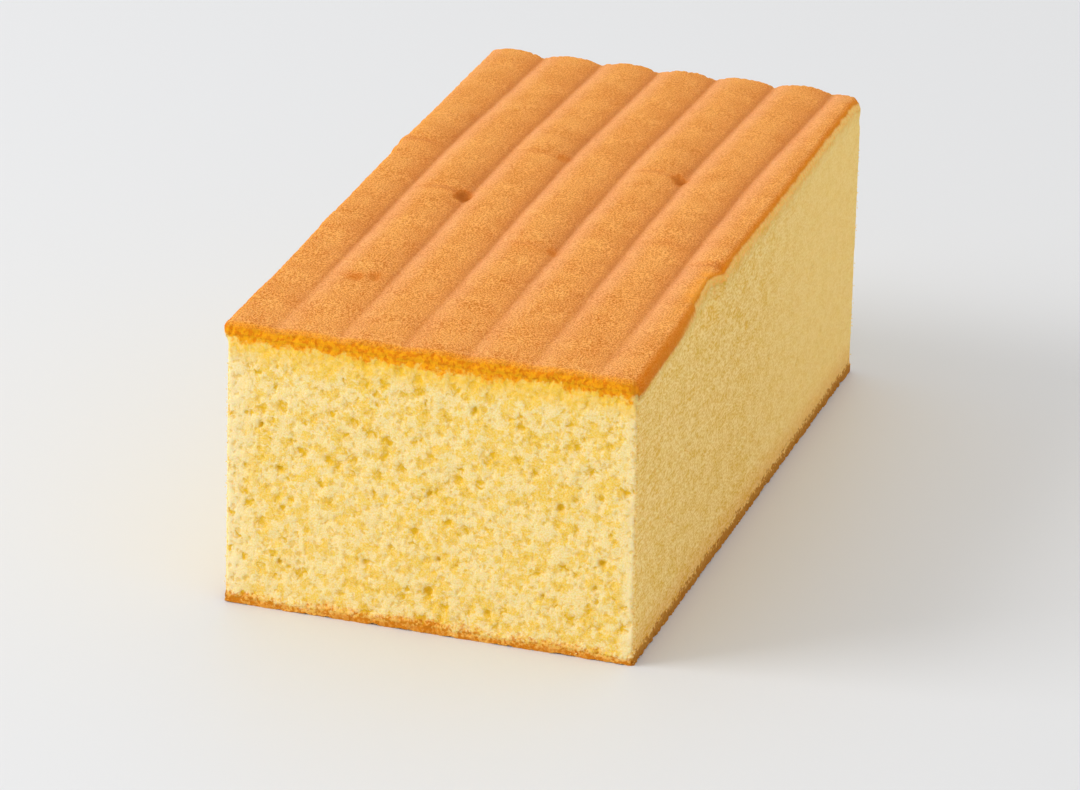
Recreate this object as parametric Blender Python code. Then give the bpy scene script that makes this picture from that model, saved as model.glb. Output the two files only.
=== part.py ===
# A block of sponge cake, cut on four sides from a sheet that was baked on ridged paper.
# Metres, +Z up. The origin is the middle of the base, and the front cut faces -Y.

import math
import random

import bmesh
import bpy
from mathutils import Euler, Matrix, Vector, noise

# Size of the block between its cuts at the base, and up to the floors of the grooves
block_width = 0.0795
block_length = 0.1512
front_height = 0.0557
back_height = 0.0599

# The long cuts draw in towards the top, least at the back
drawn_in = 0.0006
drawn_in_at_back = 0.00008

# Ridges of the baked top: the first is cut by the left edge, and all bend right towards the back
ridges_start = -0.0423
ridge_pitch = 0.01228
ridge_bend = 0.0025
bend_start = 0.010
bend_end = 0.090
ridge_height = 0.00115
ridge_fullness = 2.1
front_ridge_share = 0.45

# Puffed stretches of the ridges: number from the left, start along the length, extent, extra height
puffs = (
    (0, 0.0207, 0.0260, 0.0004),
    (1, -0.0020, 0.0380, 0.0005),
    (2, 0.0224, 0.0240, 0.0004),
    (3, -0.0230, 0.0340, 0.0004),
    (4, 0.0200, 0.0240, 0.0004),
    (5, -0.0140, 0.0300, 0.0003),
)
puff_front = 0.0020

# Browned skin at the top and at the base, and how far its edges stand out of the crumb
base_crust = 0.0018
left_radius = 0.0009
right_radius = 0.0018
end_radius = 0.0006
base_chamfer = 0.0005
side_lip = 0.0003
torn_lip_share = 0.55
base_lip = 0.0004

# Rows of the lip, from the rim of the block downwards, and the share of the lip that each has
lip_depths = (0.0, 0.0009, 0.0018)
top_lip_shares = (0.6, 1.0, 0.7)
base_lip_shares = (0.8, 1.0, 0.2)

# Where the lip of the top crust is torn, along the length
right_tear_y = -0.0290
left_tear_y = 0.0205
tear_half_length = 0.0022

# Small hollows in the baked top: place across, place along, radius, depth
top_dents = (
    (-0.0185, -0.0040, 0.0026, 0.0007),
    (0.0190, 0.0180, 0.0024, 0.0007),
    (-0.0225, -0.0477, 0.0030, 0.0004),
    (0.0072, -0.0250, 0.0028, 0.0004),
)
dent_stretch = 1.4

# Open pores of the crumb. Those of the front: share of the width, share of the height, diameter
front_pores = (
    (0.500, 0.150, 0.0026),
    (0.645, 0.105, 0.0020),
    (0.920, 0.345, 0.0024),
    (0.905, 0.255, 0.0015),
    (0.815, 0.520, 0.0019),
    (0.525, 0.270, 0.0016),
    (0.500, 0.500, 0.0016),
    (0.090, 0.660, 0.0013),
)
pores_on_an_end = 13
pores_on_a_side = 15
smallest_pore = 0.0012
largest_pore = 0.0022
pore_gap = 0.0050
pore_margin = 0.0060
pore_top_margin = 0.0080
pore_sink = 0.2
pore_stretch = 0.2
pore_seed = 7

# Fineness of the mesh
rounding_shares = (0.3, 1.0)
columns_per_ridge = 6
row_spacing = 0.0052
crumb_rows = 6
wander_size = 0.011
wander = 0.00022

sharp_angle = math.radians(35)
on_wall = 1e-6
merge_distance = 0.00002

crust_colour = (0.71, 0.36, 0.14, 1.0)
crust_roughness = 0.85


def smooth_step(low, high, value):
    share = min(max((value - low) / (high - low), 0.0), 1.0)
    return share * share * (3 - 2 * share)


def unevenness(x, y, z):
    """Slow wander of the surfaces, between about -1 and 1."""
    return noise.noise(Vector((x, y, z)) / wander_size)


def bend_at(y):
    return ridge_bend * smooth_step(bend_start, bend_end, y)


def ridge_rise(x, y):
    """Height of a ridge above the grooves beside it, which are shallower towards the front."""
    ridges_across = (x - ridges_start - bend_at(y)) / ridge_pitch
    from_groove = 2 * abs(ridges_across - round(ridges_across))
    crown = 1 - (1 - from_groove) ** ridge_fullness
    share = front_ridge_share + (1 - front_ridge_share) * smooth_step(-block_length / 2, 0.0, y)
    rise = ridge_height * share
    for number, start, extent, extra in puffs:
        if number == math.floor(ridges_across):
            front = smooth_step(start - puff_front, start, y)
            rise += extra * front * (1 - smooth_step(start, start + extent, y))
    return rise * crown


def dent_depth(x, y):
    depth = 0.0
    for dent_x, dent_y, radius, most in top_dents:
        away = math.hypot(x - dent_x, (y - dent_y) / dent_stretch) / radius
        depth += most * max(0.0, 1 - away * away) ** 2
    return depth


def quarter_round(to_cut, radius):
    """How far a rounded edge lies below a sharp one, this near to the cut."""
    short_by = max(0.0, radius - to_cut)
    return radius - math.sqrt(max(0.0, radius**2 - short_by**2))


def edge_drop(x, y):
    side_radius = right_radius if x > 0 else left_radius
    side_drop = quarter_round(block_width / 2 - abs(x), side_radius)
    end_drop = quarter_round(block_length / 2 - abs(y), end_radius)
    return math.hypot(side_drop, end_drop)


def top_height(x, y):
    groove_floor = front_height + (back_height - front_height) * (y / block_length + 0.5)
    uneven = wander * unevenness(x, y, 1.0)
    return groove_floor + uneven + ridge_rise(x, y) - dent_depth(x, y) - edge_drop(x, y)


def drawn_in_at(y):
    """How far the top of a long cut stands in from its foot."""
    return drawn_in + (drawn_in_at_back - drawn_in) * smooth_step(-block_length / 2, block_length / 2, y)


def placed_across(x, y, z):
    """Place across of a point of the straight block, once its long cuts are drawn in."""
    return x * (1 - drawn_in_at(y) / (block_width / 2) * z / front_height)


def lip_share(x, y):
    """Share of the crust's lip that is still there, beside the tear of that side."""
    if x > 0:
        behind = smooth_step(right_tear_y, right_tear_y + tear_half_length, y)
        before = 1 - smooth_step(right_tear_y - tear_half_length, right_tear_y, y)
        return behind + torn_lip_share * before
    return 1 - smooth_step(left_tear_y - tear_half_length, left_tear_y + tear_half_length, y)


def spread_evenly(low, high, steps):
    return [low + (high - low) * step / steps for step in range(steps + 1)]


def column_places():
    """Places across the width: one in every groove, and closer at the rounded edges."""
    half = block_width / 2
    step = ridge_pitch / columns_per_ridge
    count_to_right = math.floor((half - ridges_start) / step)
    inner = [ridges_start + step * count for count in range(count_to_right + 1)]
    clear = [x for x in inner if left_radius + step / 3 < x + half < block_width - right_radius - step / 3]
    left = [left_radius * share - half for share in rounding_shares]
    right = [half - right_radius * share for share in reversed(rounding_shares)]
    return [*left, *clear, *right]


def row_places():
    """Places along the length, closer at the rounded ends and at the torn lips."""
    half = block_length / 2
    tears = [
        tear + step * tear_half_length
        for tear in (right_tear_y, left_tear_y)
        for step in (-1, 0, 1)
    ]
    even = spread_evenly(end_radius - half, half - end_radius, round(block_length / row_spacing))
    clear = [y for y in even if min(abs(y - tear) for tear in tears) > tear_half_length / 2]
    rim = half - end_radius * rounding_shares[0]
    return sorted([-rim, *clear, *tears, rim])


def wall_rows(rim_height):
    """(depth below the rim, share of the top lip, share of the base lip) of each row of a wall."""
    crumb_top = lip_depths[-1] + base_chamfer
    crumb_end = rim_height - base_crust - base_chamfer
    base_depths = (rim_height - base_crust, rim_height - base_chamfer, rim_height)
    rows = [(depth, share, 0.0) for depth, share in zip(lip_depths, top_lip_shares)]
    rows += [(depth, 0.0, 0.0) for depth in spread_evenly(crumb_top, crumb_end, crumb_rows)]
    return rows + [(depth, 0.0, share) for depth, share in zip(base_depths, base_lip_shares)]


def sliced_cube(columns, rows, layers):
    """A closed box whose top and walls are cut into a grid by planes, one unit high for each layer."""
    mesh = bmesh.new()
    bmesh.ops.create_cube(mesh, size=1.0)
    bmesh.ops.translate(mesh, verts=mesh.verts, vec=(0, 0, -0.5))
    bmesh.ops.scale(mesh, verts=mesh.verts, vec=(block_width, block_length, layers))
    cuts = [(Vector((x, 0, 0)), Vector((1, 0, 0))) for x in columns]
    cuts += [(Vector((0, y, 0)), Vector((0, 1, 0))) for y in rows]
    cuts += [(Vector((0, 0, -layer)), Vector((0, 0, 1))) for layer in range(1, layers)]
    for point, normal in cuts:
        everything = [*mesh.verts, *mesh.edges, *mesh.faces]
        bmesh.ops.bisect_plane(mesh, geom=everything, dist=on_wall, plane_co=point, plane_no=normal)
    base = [face for face in mesh.faces if face.normal.z < -0.5]
    bmesh.ops.dissolve_faces(mesh, faces=base)
    return mesh


def beside_groove(x, y):
    """Moves a column along with the bending ridges, but not one at the rounded edges."""
    edge = block_width / 2 - right_radius
    return x + bend_at(y) * (1 - smooth_step(edge - ridge_pitch / 2, edge, abs(x)))


def bend_to_cake(vert):
    """Moves a corner of the sliced box to its place on the cake."""
    x, y, layer = beside_groove(vert.co.x, vert.co.y), vert.co.y, round(-vert.co.z)
    rim_height = top_height(x, y)
    depth, top_share, base_share = wall_rows(rim_height)[layer]
    z = rim_height - depth
    in_crumb = top_share == 0 and base_share == 0
    rough = wander * unevenness(x, y, z) if in_crumb else 0.0
    out_at_end = base_lip * base_share + rough
    out_at_side = out_at_end + (side_lip + drawn_in_at(y)) * lip_share(x, y) * top_share
    if abs(x) > block_width / 2 - on_wall:
        x += math.copysign(out_at_side, x)
    if abs(y) > block_length / 2 - on_wall:
        y += math.copysign(out_at_end, y)
    vert.co = (placed_across(x, y, z), y, z)


def scatter_pores(draw, width, count, taken):
    """Places and diameters on a wall, as shares of its width and height, well apart."""
    pores = list(taken)
    margin = pore_margin / width
    while len(pores) < count:
        u = draw.uniform(margin, 1 - margin)
        v = draw.uniform(pore_margin, front_height - pore_top_margin) / front_height
        away = [math.hypot((u - p) * width, (v - q) * front_height) for p, q, _ in pores]
        if all(gap > pore_gap for gap in away):
            pores.append((u, v, draw.uniform(smallest_pore, largest_pore)))
    return pores


def pore_spots():
    """Every pore of the four cut walls: its middle on the wall, the wall's outward turn, its diameter."""
    draw = random.Random(pore_seed)
    spots = []
    for quarter, pores_seen in enumerate((front_pores, (), (), ())):
        on_end = quarter % 2 == 0
        width = block_width if on_end else block_length
        count = pores_on_an_end if on_end else pores_on_a_side
        turn = Matrix.Rotation(quarter * math.pi / 2, 4, "Z")
        for u, v, diameter in scatter_pores(draw, width, count, pores_seen):
            out_by = block_length / 2 if on_end else block_width / 2
            middle = turn @ Vector(((u - 0.5) * width, -out_by, v * front_height))
            if not on_end:
                middle.x = placed_across(middle.x, middle.y, middle.z)
            spots.append((middle, turn, diameter))
    return spots


def pore_cutter(collection):
    """One mesh of rough balls, each sunk into its wall."""
    draw = random.Random(pore_seed)
    mesh = bmesh.new()
    for middle, turn, diameter in pore_spots():
        inward = turn @ Vector((0, diameter * pore_sink, 0))
        spin = Euler([draw.uniform(0, math.pi) for _ in range(3)]).to_matrix().to_4x4()
        stretch = Matrix.Diagonal([draw.uniform(1 - pore_stretch, 1 + pore_stretch) for _ in range(3)])
        placed = Matrix.Translation(middle + inward) @ spin @ stretch.to_4x4()
        bmesh.ops.create_icosphere(mesh, subdivisions=2, radius=diameter / 2, matrix=placed)
    data = bpy.data.meshes.new("pore_cutter")
    mesh.to_mesh(data)
    mesh.free()
    cutter = bpy.data.objects.new("pore_cutter", data)
    cutter.hide_render = True
    cutter.display_type = "WIRE"
    collection.objects.link(cutter)
    return cutter


def baked_material():
    material = bpy.data.materials.new("golden_sponge")
    material.use_nodes = True
    shader = material.node_tree.nodes["Principled BSDF"]
    shader.inputs["Base Color"].default_value = crust_colour
    shader.inputs["Roughness"].default_value = crust_roughness
    shader.inputs["Metallic"].default_value = 0.0
    return material


def sponge_block(collection):
    columns, rows = column_places(), row_places()
    mesh = sliced_cube(columns, rows, len(wall_rows(front_height)) - 1)
    for vert in mesh.verts:
        bend_to_cake(vert)
    bmesh.ops.recalc_face_normals(mesh, faces=mesh.faces)
    data = bpy.data.meshes.new("sponge_cake")
    mesh.to_mesh(data)
    mesh.free()
    data.materials.append(baked_material())
    data.shade_smooth()
    data.set_sharp_from_angle(angle=sharp_angle)
    block = bpy.data.objects.new("sponge_cake", data)
    collection.objects.link(block)
    return block


def new_collection(name):
    collection = bpy.data.collections.new(name)
    bpy.context.scene.collection.children.link(collection)
    return collection


def main():
    for old in list(bpy.data.objects):
        bpy.data.objects.remove(old)
    block = sponge_block(new_collection("sponge_cake_slice"))
    pores = block.modifiers.new("pores", "BOOLEAN")
    pores.operation = "DIFFERENCE"
    pores.object = pore_cutter(new_collection("cutters"))
    merged = block.modifiers.new("merged", "WELD")
    merged.merge_threshold = merge_distance


main()
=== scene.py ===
import math
import random

import bmesh
import bpy
from mathutils import Matrix, Vector


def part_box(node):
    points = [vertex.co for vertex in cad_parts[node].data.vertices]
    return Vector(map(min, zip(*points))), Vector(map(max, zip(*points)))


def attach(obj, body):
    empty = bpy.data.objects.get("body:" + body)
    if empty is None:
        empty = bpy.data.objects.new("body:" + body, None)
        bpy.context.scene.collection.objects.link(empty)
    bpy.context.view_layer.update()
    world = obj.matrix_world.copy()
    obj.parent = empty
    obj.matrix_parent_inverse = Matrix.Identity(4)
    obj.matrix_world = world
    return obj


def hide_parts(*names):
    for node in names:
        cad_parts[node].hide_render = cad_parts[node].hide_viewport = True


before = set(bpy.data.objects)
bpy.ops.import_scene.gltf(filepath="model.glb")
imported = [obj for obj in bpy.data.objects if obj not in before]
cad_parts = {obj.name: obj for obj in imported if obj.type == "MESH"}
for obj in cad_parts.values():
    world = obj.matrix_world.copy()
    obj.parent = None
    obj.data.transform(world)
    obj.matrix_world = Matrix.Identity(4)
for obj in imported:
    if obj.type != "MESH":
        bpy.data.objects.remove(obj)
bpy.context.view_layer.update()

# A cut block of sponge cake: browned ridged top, open yellow crumb, thin browned base.
# Metres, in the frame's own axes. The front cut faces -Y and the ridges run along Y.

nodeLow, nodeHigh = (Vector(corner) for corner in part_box("sponge_cake"))
mm = 0.001


def inMetres(*rows):
    return tuple(tuple(value * mm for value in row) for row in rows)


block = {
    "sideLip": 0.3 * mm,         # the skin of the top stands out over the feet of both long cuts
    "baseLip": 0.4 * mm,         # and the base skin a little, all round
    "baseSwell": 0.2 * mm,       # share of that which is more than crumbs
    "drawnIn": 0.6 * mm,         # the long cuts draw in towards the top at the front
    "drawnInAtBack": 0.08 * mm,
    "heightInFront": 0.93,       # share of the height at the back
    "cornerRadius": 0.6 * mm,    # upright corners
    "lipCorner": 1.9 * mm,       # and how much rounder the right lip is at its ends
    "leftRound": 1.0 * mm,       # the skin rolls over at the right cut, less at the left one
    "rightRound": 1.9 * mm,
    "endRound": 0.6 * mm,        # and is cut crisply at the short ones
    "rightTorn": inMetres(       # how much of the skin's edge is torn off, from each place on, along Y
        (-80.0, 0.1), (-52.0, 0.3), (-40.0, 0.8), (-37.5, 1.5), (-27.0, 2.0), (-22.5, 0.0),
        (-8.0, 0.15), (24.0, 0.0), (80.0, 0.0),
    ),
    "leftTorn": inMetres(
        (-80.0, 0.0), (-62.0, 0.1), (-50.0, 0.5), (12.0, 0.6), (17.0, 0.0), (20.5, 0.0),
        (22.5, 0.9), (48.0, 0.6), (80.0, 0.5),
    ),
    "lipZone": (-2.6 * mm, 0.4 * mm),  # across from the cut, where the lip and the tears begin
    "lipFoot": (0.9 * mm, 2.9 * mm),   # depths between which the lip ends
    "tearFoot": (1.0 * mm, 6.5 * mm),  # and the tears
    "cornerFoot": (1.2 * mm, 4.0 * mm),
    "swellTop": (1.3 * mm, 2.6 * mm),  # heights between which the swell of the base ends
    "shoulder": 1.1 * mm,        # how far the right end of the skin sinks towards both ends
    "shoulderReach": 7.0 * mm, "shoulderInFront": 0.5,
    "topSeam": 1.6 * mm,         # the crust piece reaches this far down the short cuts
    "sideSeam": 0.3 * mm,        # and the long ones
    "baseSeam": 1.4 * mm,        # and the base piece this far up them
    "seamTurn": 3.0 * mm,        # over which the seam passes from a long cut to a short one
    "seamBelow": 2.0 * mm,       # from the seam down to the flat face inside
    "aboveRidges": 0.15 * mm,    # room under the top of the frame's own box
}
ridgeHeight = 1.15 * mm
halfWidth = (nodeHigh.x - nodeLow.x) / 2 - block["baseLip"]
halfLength = (nodeHigh.y - nodeLow.y) / 2 - block["baseLip"]
backHeight = nodeHigh.z - ridgeHeight - block["aboveRidges"]  # up to the floors of the grooves
frontHeight = backHeight * block["heightInFront"]


def smoothStep(low, high, value):
    share = min(max((value - low) / (high - low), 0.0), 1.0)
    return share * share * (3 - 2 * share)


def meshFrom(shape, name):
    mesh = bpy.data.meshes.new(name)
    shape.to_mesh(mesh)
    shape.free()
    return mesh


def added(name, data):  # an object of this data, in the scene
    made = bpy.data.objects.new(name, data)
    bpy.context.scene.collection.objects.link(made)
    return made


# Node trees, for shaders and shapes alike

def isVector(value):
    return isinstance(value, tuple) or (isinstance(value, Wire) and value.socket.type == "VECTOR")


class Wire:  # an output socket: sums and products of wires add their own nodes
    def __init__(self, socket):
        self.socket = socket
        self.tree = socket.id_data

    @classmethod
    def add(cls, tree, kind, settings, values, out=0):  # any other node, and one of its outputs
        node = tree.nodes.new(kind)
        for name, value in settings.items():
            setattr(node, name, value)
        for name, value in values.items():
            socket = node.inputs[name]
            if isinstance(value, cls):
                tree.links.new(value.socket, socket)
            elif socket.type == "VECTOR" and not isinstance(value, tuple):
                socket.default_value = (value, value, value)
            else:
                socket.default_value = value
        return cls(node.outputs[out])

    def node(self, kind, settings, values, out=0):
        return Wire.add(self.tree, kind, settings, values, out)

    def maths(self, operation, first, second=0.0):
        vectors = isVector(first) + isVector(second)
        if not vectors:
            return self.node("ShaderNodeMath", {"operation": operation}, {0: first, 1: second})
        if operation == "MULTIPLY" and vectors == 1:
            vector, factor = (first, second) if isVector(first) else (second, first)
            return self.node("ShaderNodeVectorMath", {"operation": "SCALE"}, {0: vector, 3: factor})
        return self.node("ShaderNodeVectorMath", {"operation": operation}, {0: first, 1: second})

    def __add__(self, other):
        return self.maths("ADD", self, other)

    def __radd__(self, other):
        return self.maths("ADD", other, self)

    def __sub__(self, other):
        return self.maths("SUBTRACT", self, other)

    def __rsub__(self, other):
        return self.maths("SUBTRACT", other, self)

    def __mul__(self, other):
        return self.maths("MULTIPLY", self, other)

    def __rmul__(self, other):
        return self.maths("MULTIPLY", other, self)

    def __truediv__(self, other):
        return self.maths("DIVIDE", self, other)

    def __pow__(self, other):
        return self.maths("POWER", self, other)

    def __abs__(self):
        return self.maths("ABSOLUTE", self)

    def most(self, other):
        return self.maths("MAXIMUM", self, other)

    def least(self, other):
        return self.maths("MINIMUM", self, other)

    def rounded(self):
        return self.maths("ROUND", self)

    def step(self, low, high):  # 0 below low and 1 above high, smooth between
        ends = {"Value": self, "From Min": low, "From Max": high}
        return self.node("ShaderNodeMapRange", {"interpolation_type": "SMOOTHSTEP"}, ends, "Result")

    def part(self, axis):
        return self.node("ShaderNodeSeparateXYZ", {}, {0: self}, axis)

    def noise(self, size, detail=2.0, rough=0.5, out="Fac"):  # size in the place's own units
        values = {"Vector": self, "Scale": 1 / size, "Detail": detail, "Roughness": rough}
        return self.node("ShaderNodeTexNoise", {"noise_dimensions": "3D"}, values, out)

    def blend(self, low, high):  # a colour between two, by this wire
        values = {0: self, 6: low, 7: high}
        return self.node("ShaderNodeMix", {"data_type": "RGBA", "clamp_factor": True}, values, 2)


# The crumb, as one rule that both the shapes and the materials follow

crumb = {  # sizes in millimetres
    "warpSize": 1.2, "warp": 0.8,
    "smallGap": 1.3, "smallRadius": 0.85,
    "mediumGap": 3.3, "mediumRadius": 1.75, "mediumShare": 0.65,
    "raggedSize": 0.75, "ragged": 1.9,
    "patchSize": 1.7, "grainSize": 0.36, "grainRough": 0.65,
    "drawn": 0.42,               # share by which the knife drew the long cuts out
    "leastPit": 0.45,            # share of the radius that the smallest pits have
}


def warped(place):  # place in millimetres, stirred so that no pit is round
    stir = place.noise(crumb["warpSize"], detail=1.0, out="Color") - (0.5, 0.5, 0.5)
    return place + stir * (2 * crumb["warp"])


def pits(place, gap, radius, share=1.0):  # about 1 in the middle of a pit and 0 from its rim on
    values = {"Vector": place, "Scale": 1 / gap}
    settings = {"voronoi_dimensions": "3D", "feature": "F1"}
    away = place.node("ShaderNodeTexVoronoi", settings, values, "Distance")
    chance = Wire(away.socket.node.outputs["Color"]).part("X")
    reach = (crumb["leastPit"] + (1 - crumb["leastPit"]) * chance) * (radius / gap)
    ragged = (place.noise(crumb["raggedSize"], detail=1.0) - 0.5) * crumb["ragged"]
    depth = (1 + ragged - away / reach).most(0.0)
    if share < 1:
        there = Wire(away.socket.node.outputs["Color"]).part("Y")
        depth = depth * (1 - there.step(share - 0.02, share + 0.02))
    return depth


def smallPits(place):
    return pits(place, crumb["smallGap"], crumb["smallRadius"])


def mediumPits(place):
    moved = place + (31.0, 17.0, 5.0)
    return pits(moved, crumb["mediumGap"], crumb["mediumRadius"], crumb["mediumShare"])


ridges = {  # of the baked top
    "start": -42.3 * mm, "pitch": 12.28 * mm, "fullness": 2.1,
    "bend": 2.5 * mm, "bendStart": 10.0 * mm, "bendEnd": 90.0 * mm,  # to the right, towards the back
    "inFront": 0.35,             # share of their height at the front cut
    "fadeDown": 5.0 * mm,        # how far down the cuts they bend the crust
    "dents": inMetres(           # across, along, radius, depth
        (-18.6, -3.0, 2.8, 0.7), (18.4, 18.6, 2.4, 0.6), (-20.9, -47.0, 2.2, 0.4),
        (-24.2, -48.4, 2.2, 0.35), (6.1, -24.2, 2.2, 0.35), (-6.3, 22.0, 2.0, 0.3),
        (38.4, -21.6, 1.7, 0.5),
    ),
    "dentStretch": 1.1, "dentStirSize": 1.7, "dentStir": 3.2,  # the last two in millimetres
    "unevenSize": 14.0, "leastRise": 0.86, "moreRise": 0.28,  # shares of the ridge height
    "wander": 0.7,               # of their lines, in millimetres
    "puffs": (                   # ridge from the left, start along, extent, extra height
        (0, 20.7 * mm, 26.0 * mm, 0.5 * mm), (1, -2.0 * mm, 40.0 * mm, 0.6 * mm),
        (2, 22.4 * mm, 24.0 * mm, 0.5 * mm), (3, -23.0 * mm, 36.0 * mm, 0.5 * mm),
        (4, 20.0 * mm, 24.0 * mm, 0.55 * mm), (5, -14.0 * mm, 30.0 * mm, 0.4 * mm),
        (6, -21.0 * mm, 22.0 * mm, 0.6 * mm), (0, -27.0 * mm, 20.0 * mm, 0.35 * mm),
        (1, -47.0 * mm, 24.0 * mm, 0.35 * mm),
    ),
    "puffFront": 1.5 * mm,
}

pores = {  # large ones, where the frame's own solid has them
    "front": (  # share of the width, share of the height, diameter
        (0.500, 0.150, 2.6 * mm), (0.645, 0.105, 2.0 * mm), (0.920, 0.345, 2.4 * mm),
        (0.905, 0.255, 1.5 * mm), (0.815, 0.520, 1.9 * mm), (0.525, 0.270, 1.6 * mm),
        (0.500, 0.500, 1.6 * mm), (0.090, 0.660, 1.3 * mm),
    ),
    "onAnEnd": 13, "onASide": 15,
    "smallest": 1.2 * mm, "largest": 2.2 * mm,
    "gap": 5.0 * mm, "margin": 6.0 * mm, "topMargin": 8.0 * mm,
    "seed": 7,
}


def poresOfAWall(draw, width, count, taken):
    found = list(taken)
    margin = pores["margin"] / width
    while len(found) < count:
        u = draw.uniform(margin, 1 - margin)
        v = draw.uniform(pores["margin"], frontHeight - pores["topMargin"]) / frontHeight
        away = [math.hypot((u - p) * width, (v - q) * frontHeight) for p, q, _ in found]
        if all(gap > pores["gap"] for gap in away):
            found.append((u, v, draw.uniform(pores["smallest"], pores["largest"])))
    return found


def poreObject():  # one loose vertex for each pore, with its radius
    draw = random.Random(pores["seed"])
    shape = bmesh.new()
    radius = shape.verts.layers.float.new("poreRadius")
    for quarter, seen in enumerate((pores["front"], (), (), ())):
        onEnd = quarter % 2 == 0
        width, reach = (2 * halfWidth, halfLength) if onEnd else (2 * halfLength, halfWidth)
        turn = Matrix.Rotation(quarter * math.pi / 2, 4, "Z")
        for u, v, diameter in poresOfAWall(draw, width, pores["onAnEnd" if onEnd else "onASide"], seen):
            spot = turn @ Vector(((u - 0.5) * width, -reach, v * frontHeight))
            vert = shape.verts.new((spot.x if onEnd else placedAcross(*spot), spot.y, spot.z))
            vert[radius] = diameter / 2
    return added("poreSpots", meshFrom(shape, "poreSpots"))


# The block's plain form: a gridded sheet whose rim is drawn down in rows

fine = {
    "across": 0.36 * mm, "along": 0.75 * mm, "nearCut": 0.32 * mm, "cutZone": 2.6 * mm,
    "crustRow": 0.32 * mm, "crumbRow": 0.53 * mm, "baseRow": 0.35 * mm,
    "capInset": 3.0 * mm,
}


def spaced(low, high, gap):
    count = max(1, round((high - low) / gap))
    return [low + (high - low) * step / count for step in range(count + 1)]


def gridPlaces(half, gap):  # from cut to cut, closer near both
    inner = half - fine["cutZone"]
    near = min(gap, fine["nearCut"])
    return spaced(-half, -inner, near)[:-1] + spaced(-inner, inner, gap) + spaced(inner, half, near)[1:]


def floorHeight(y):  # of the grooves
    return frontHeight + (backHeight - frontHeight) * (y / halfLength + 1) / 2


def quarterRound(toCut, radius):
    shortBy = max(0.0, radius - toCut)
    return radius - math.sqrt(max(0.0, radius**2 - shortBy**2))


def sideRound(x):
    return block["rightRound" if x > 0 else "leftRound"]


def rimHeight(x, y):  # of the groove floors, rounded down towards the cuts
    acrossDrop = quarterRound(halfWidth - abs(x), sideRound(x))
    alongDrop = quarterRound(halfLength - abs(y), block["endRound"])
    reach = block["shoulderReach"]
    share = block["shoulderInFront"] if y < 0 else 1.0
    nearEnd = smoothStep(halfLength - reach, halfLength, abs(y)) * share
    shoulder = block["shoulder"] * nearEnd * smoothStep(halfWidth - reach, halfWidth, x)
    return floorHeight(y) - math.hypot(acrossDrop, alongDrop) - shoulder


def drawnInAt(y):  # how far the top of a long cut stands in from its foot
    front, back = block["drawnIn"], block["drawnInAtBack"]
    return front + (back - front) * smoothStep(-halfLength, halfLength, y)


def placedAcross(x, y, z):
    return x * (1 - drawnInAt(y) / halfWidth * z / frontHeight)


def tornAt(x, y):
    stops = block["rightTorn" if x > 0 else "leftTorn"]
    for (start, before), (end, after) in zip(stops, stops[1:]):
        if y <= end:
            return before + (after - before) * smoothStep(start, end, y)
    return stops[-1][1]


def lipOut(x, y, depth):  # how far the skin stands out over a long cut, or in where it is torn
    rise = smoothStep(*block["lipZone"], abs(x) - halfWidth)
    lip = (block["sideLip"] + drawnInAt(y)) * (1 - smoothStep(*block["lipFoot"], depth))
    torn = tornAt(x, y) * (1 - smoothStep(*block["tearFoot"], depth))
    return math.copysign(1.0, x) * (lip - torn) * rise


def cornerAt(x, depth):  # radius of an upright corner, this far below the rim
    atLip = 1 - smoothStep(*block["cornerFoot"], depth)
    return block["cornerRadius"] + (block["lipCorner"] * atLip if x > 0 else 0.0)


def cornerTurned(x, y, depth):  # rounds the upright corners of the square outline
    radius = cornerAt(x, depth)
    overX = abs(x) - (halfWidth - radius)
    overY = abs(y) - (halfLength - radius)
    if overX <= 0 or overY <= 0:
        return x, y
    scale = max(overX, overY) / math.hypot(overX, overY)
    newX = math.copysign(halfWidth - radius + overX * scale, x)
    return newX, math.copysign(halfLength - radius + overY * scale, y)


def outOfCut(x, y, depth):
    radius = cornerAt(x, depth)
    overX = max(0.0, abs(x) - (halfWidth - radius))
    overY = max(0.0, abs(y) - (halfLength - radius))
    return Vector((math.copysign(overX, x), math.copysign(overY, y), 0)).normalized()


def outOfTop(x, y):
    leanX = max(0.0, 1 - (halfWidth - abs(x)) / sideRound(x))
    leanY = max(0.0, 1 - (halfLength - abs(y)) / block["endRound"])
    up = math.sqrt(max(0.0, 1 - leanX**2 - leanY**2))
    return Vector((math.copysign(leanX, x), math.copysign(leanY, y), up)).normalized()


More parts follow.
